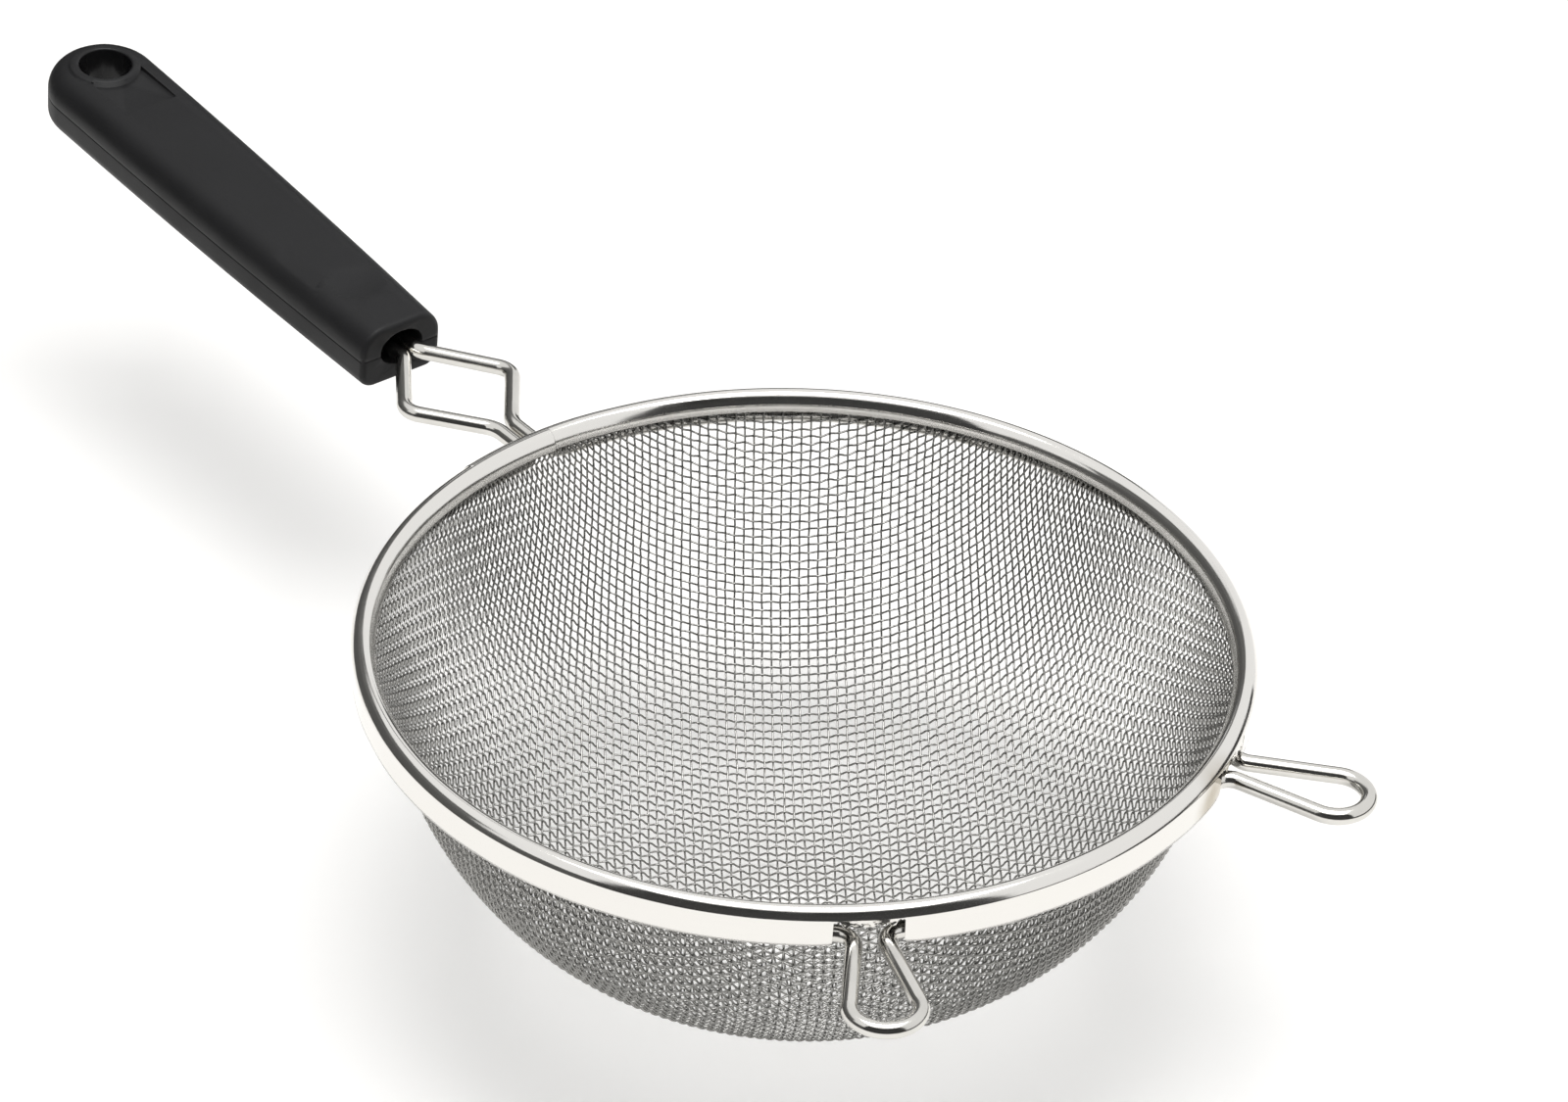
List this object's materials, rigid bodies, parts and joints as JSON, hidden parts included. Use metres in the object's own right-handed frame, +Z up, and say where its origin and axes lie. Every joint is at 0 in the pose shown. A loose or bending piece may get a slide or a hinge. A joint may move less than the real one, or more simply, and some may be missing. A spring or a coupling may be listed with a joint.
{
  "type": "kitchen strainer",
  "caption": "Round woven-wire bowl strainer with a rolled rim band, rest ears, a diamond wire neck and a moulded handle with a hanging hole.",
  "frame": {"origin": "on the bowl's axis, in the plane of the frame wire's underside, where the strainer rests across a pan", "axes": "+Z up along the bowl's axis, out of its mouth; -X towards the handle; +Y to the left seen from the handle"},
  "size_m": [0.4111, 0.2, 0.0945],
  "materials": {
    "band_steel": "bright rolled stainless sheet, faintly heat tinted near the ears",
    "wire_steel": "bright drawn stainless wire",
    "woven_steel": "plain weave of fine stainless wire",
    "handle_plastic": "black moulded plastic, satin grip with a glossy lip round the hanging hole"
  },
  "bodies": {
    "root": {"rim_band": "band_steel", "mesh_bowl": "woven_steel", "hoop_wire_left": "wire_steel", "hoop_wire_right": "wire_steel", "hoop_wire_front": "wire_steel", "ear_left": "wire_steel", "ear_right": "wire_steel", "neck_wire_left": "wire_steel", "neck_wire_right": "wire_steel", "handle": "handle_plastic"}
  },
  "joints": []
}
